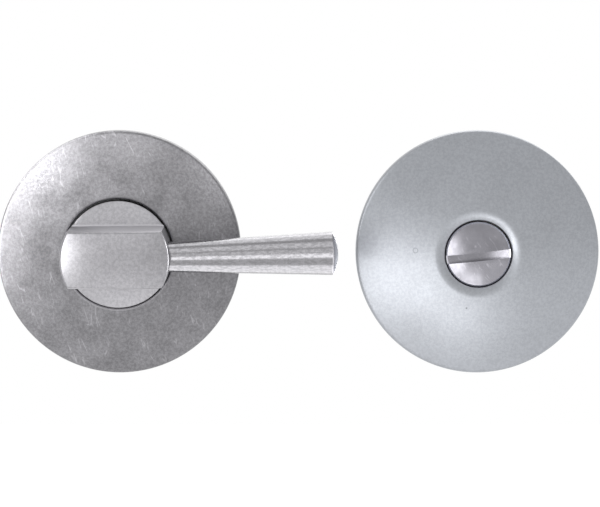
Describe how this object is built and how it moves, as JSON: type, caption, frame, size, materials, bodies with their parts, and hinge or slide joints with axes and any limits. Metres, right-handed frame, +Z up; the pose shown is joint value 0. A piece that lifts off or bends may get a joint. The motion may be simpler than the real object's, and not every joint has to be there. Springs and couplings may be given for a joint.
{
  "type": "bathroom thumb turn lock",
  "caption": "Bathroom door turn and release: a domed round rose with a thumb turn and tapered lever, beside the matching outside rose with a coin slot head.",
  "frame": {"origin": "the thumb turn's axis at the door face, in the plane of both back plates", "axes": "+Z up, -Y out of the door towards the user, +X from the thumb turn to the release half"},
  "size_m": [0.1286, 0.0699, 0.052],
  "materials": {
    "turn_satin": "satin anodised, finely brushed, lightly scratched",
    "release_satin": "fine satin anodised",
    "polished_head": "polished",
    "plated_steel": "zinc plated pressed steel",
    "bright_steel": "bright zinc plated",
    "dark_steel": "black oxide",
    "spring_steel": "phosphated spring steel",
    "bearing_nylon": "natural nylon"
  },
  "bodies": {
    "door_fixed": {"turn_rose": "turn_satin", "release_rose": "release_satin", "turn_back_plate": "plated_steel", "release_back_plate": "plated_steel", "turn_bush": "bearing_nylon", "release_bush": "bearing_nylon", "upper_fixing_bolt": "bright_steel", "lower_fixing_bolt": "bright_steel", "upper_fixing_sleeve": "bright_steel", "lower_fixing_sleeve": "bright_steel", "turn_thrust_washer": "plated_steel", "release_thrust_washer": "plated_steel"},
    "turn": {"thumb_turn": "turn_satin", "turn_lever": "turn_satin", "lever_stud": "bright_steel", "turn_spring_washer": "spring_steel", "turn_circlip": "spring_steel", "spindle": "bright_steel", "spindle_grub_screw": "dark_steel"},
    "release": {"release_head": "polished_head", "release_spring_washer": "spring_steel", "release_circlip": "spring_steel"}
  },
  "joints": [
    {"name": "turn_pivot", "type": "hinge", "parent": "door_fixed", "child": "turn", "pos_m": [0, 0, 0], "axis": [0, -1, 0], "continuous": true},
    {"name": "release_pivot", "type": "hinge", "parent": "door_fixed", "child": "release", "pos_m": [0.0766, 0, 0], "axis": [0, -1, 0], "continuous": true}
  ]
}
